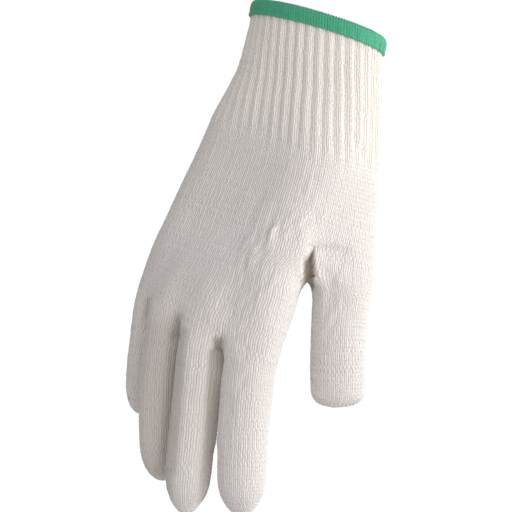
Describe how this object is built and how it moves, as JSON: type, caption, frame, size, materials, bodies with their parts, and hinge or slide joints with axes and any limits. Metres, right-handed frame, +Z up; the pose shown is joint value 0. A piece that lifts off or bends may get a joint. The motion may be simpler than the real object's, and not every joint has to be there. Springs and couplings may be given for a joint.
{
  "type": "work glove",
  "caption": "Knitted cotton work glove for a right hand in its worn form: ribbed cuff with an overlocked edge, palm, thumb and four fingers, all hollow",
  "frame": {"origin": "centre of the wrist opening, in the plane of the upper end of the cuff", "axes": "+Z up along the picture, fingers point to -Z; +X towards the thumb; -Y towards the back of the hand"},
  "size_m": [0.1206, 0.0883, 0.239],
  "materials": {
    "knit": "matt unbleached cotton jersey",
    "ribbing": "matt unbleached cotton rib",
    "edging": "green overlocking thread"
  },
  "bodies": {
    "root": {"overlock_edge": "edging", "rib_cuff": "ribbing", "lower_palm": "knit", "upper_palm": "knit", "thumb": "knit", "index_finger": "knit", "middle_finger": "knit", "ring_finger": "knit", "little_finger": "knit"}
  },
  "joints": []
}
